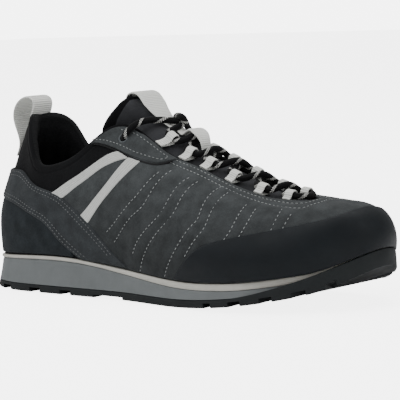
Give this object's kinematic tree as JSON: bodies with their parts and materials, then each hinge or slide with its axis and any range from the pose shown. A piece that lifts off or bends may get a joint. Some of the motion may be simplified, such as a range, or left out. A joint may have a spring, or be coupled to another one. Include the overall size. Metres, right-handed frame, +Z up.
{
  "type": "approach shoe",
  "caption": "Low lace-up approach shoe for the right foot: hollow suede upper, rubber toe rand, webbing lace loops, pull loops, foam midsole and lugged rubber outsole.",
  "frame": {"origin": "on the ground under the centre of the heel, on the flat of the tread", "axes": "+X to the toe, +Y to the medial side, +Z up"},
  "size_m": [0.2945, 0.1059, 0.1249],
  "materials": {
    "outsole_rubber": "matte moulded rubber",
    "midsole_foam": "smooth moulded foam",
    "strip_foam": "smooth moulded foam",
    "insole_fabric": "woven cloth over foam",
    "upper_suede": "napped suede",
    "panel_suede": "napped suede",
    "counter_suede": "napped suede",
    "band_suede": "napped suede",
    "rand_rubber": "satin rubber",
    "pale_strap": "matte microfibre",
    "tongue_fabric": "padded knit",
    "webbing": "ribbed webbing",
    "lace_cord": "braided cord with light flecks"
  },
  "bodies": {
    "root": {"outsole": "outsole_rubber", "midsole": "midsole_foam", "welt_strip": "strip_foam", "insole": "insole_fabric", "upper": "upper_suede", "heel_counter": "counter_suede", "heel_band": "band_suede", "toe_rand": "rand_rubber", "strap_rear_lateral": "pale_strap", "strap_rear_medial": "pale_strap", "strap_front_lateral": "pale_strap", "strap_front_medial": "pale_strap", "eyestay_lateral": "panel_suede", "eyestay_medial": "panel_suede", "tongue": "tongue_fabric", "pull_loop": "webbing", "tongue_loop": "webbing", "lace_loop_lateral_1": "webbing", "lace_loop_lateral_2": "webbing", "lace_loop_lateral_3": "webbing", "lace_loop_lateral_4": "webbing", "lace_loop_lateral_5": "webbing", "lace_loop_lateral_6": "webbing", "lace_loop_medial_1": "webbing", "lace_loop_medial_2": "webbing", "lace_loop_medial_3": "webbing", "lace_loop_medial_4": "webbing", "lace_loop_medial_5": "webbing", "lace_loop_medial_6": "webbing", "lace": "lace_cord"}
  },
  "joints": []
}
